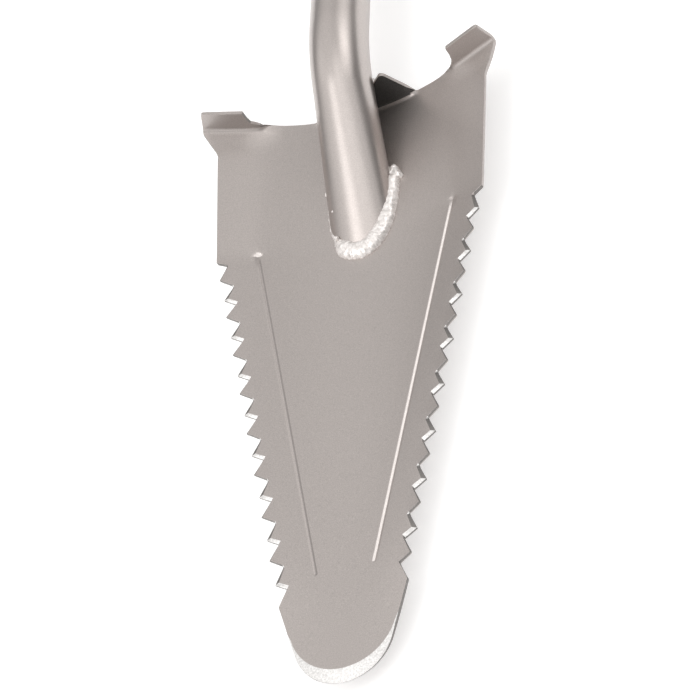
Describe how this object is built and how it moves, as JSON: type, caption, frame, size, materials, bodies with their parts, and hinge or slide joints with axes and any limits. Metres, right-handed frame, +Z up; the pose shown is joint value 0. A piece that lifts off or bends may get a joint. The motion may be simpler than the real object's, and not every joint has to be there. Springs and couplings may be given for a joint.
{
  "type": "camp shovel",
  "caption": "Welded steel digging shovel: narrow bent blade with saw edges and foot steps, bent tube shaft, T-handle with ribbed grips.",
  "frame": {"origin": "on the ground below the middle of the whole shovel, which lies on its back", "axes": "+X across the blade, +Y along the shaft towards the T-handle, +Z up, out of the blade's front face; the heel of the dished blade and the two grips touch the ground Z = 0"},
  "size_m": [0.1544, 0.787, 0.0459],
  "materials": {
    "painted_steel": "satin metallic grey paint",
    "weld_metal": "rippled weld under satin metallic paint",
    "grip_rubber": "matt, fine-grained",
    "plug_plastic": "matt"
  },
  "bodies": {
    "root": {"blade": "painted_steel", "shaft_tube": "painted_steel", "socket_weld_bead": "weld_metal", "saddle_weld_bead": "weld_metal", "handle_tube": "painted_steel", "handle_weld_bead": "weld_metal", "left_grip": "grip_rubber", "right_grip": "grip_rubber", "left_end_plug": "plug_plastic", "right_end_plug": "plug_plastic"}
  },
  "joints": []
}
